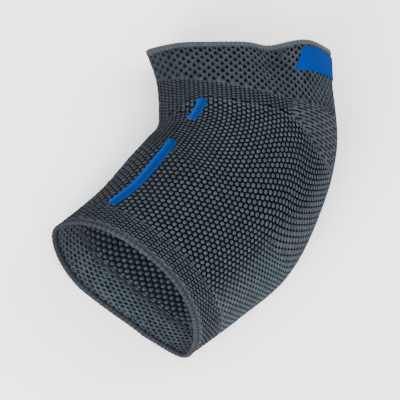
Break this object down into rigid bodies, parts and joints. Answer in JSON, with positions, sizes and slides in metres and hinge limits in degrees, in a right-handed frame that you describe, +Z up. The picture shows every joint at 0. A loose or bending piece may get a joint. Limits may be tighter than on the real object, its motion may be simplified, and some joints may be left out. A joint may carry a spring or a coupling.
{
  "type": "elbow brace",
  "caption": "Empty knitted elbow brace lying on its side: a bent, slack, hollow sleeve with rolled hems, closer knit at both ends and blue ribs beside the crook.",
  "frame": {"origin": "under the middle of the brace's outer box, on the surface that it lies on", "axes": "+Z up out of the surface that it lies on, +Y along the upper arm towards the upper opening, +X towards the back of the elbow; the forearm leaves towards -X and -Y"},
  "size_m": [0.1738, 0.1768, 0.0616],
  "materials": {
    "honeycomb_knit": "slate grey open honeycomb knit, dark between the dots, matt",
    "cuff_knit": "slate grey close tuck knit, matt",
    "hem_yarn": "lighter grey fine plain knit, rolled, soft sheen",
    "blue_yarn": "bright blue knitted rib, matt",
    "label_cloth": "bright blue woven satin label, plain"
  },
  "bodies": {
    "root": {"upper_hem": "hem_yarn", "upper_cuff": "cuff_knit", "elbow_knit": "honeycomb_knit", "forearm_cuff": "cuff_knit", "forearm_hem": "hem_yarn", "short_rib": "blue_yarn", "long_rib": "blue_yarn", "label": "label_cloth"}
  },
  "joints": []
}
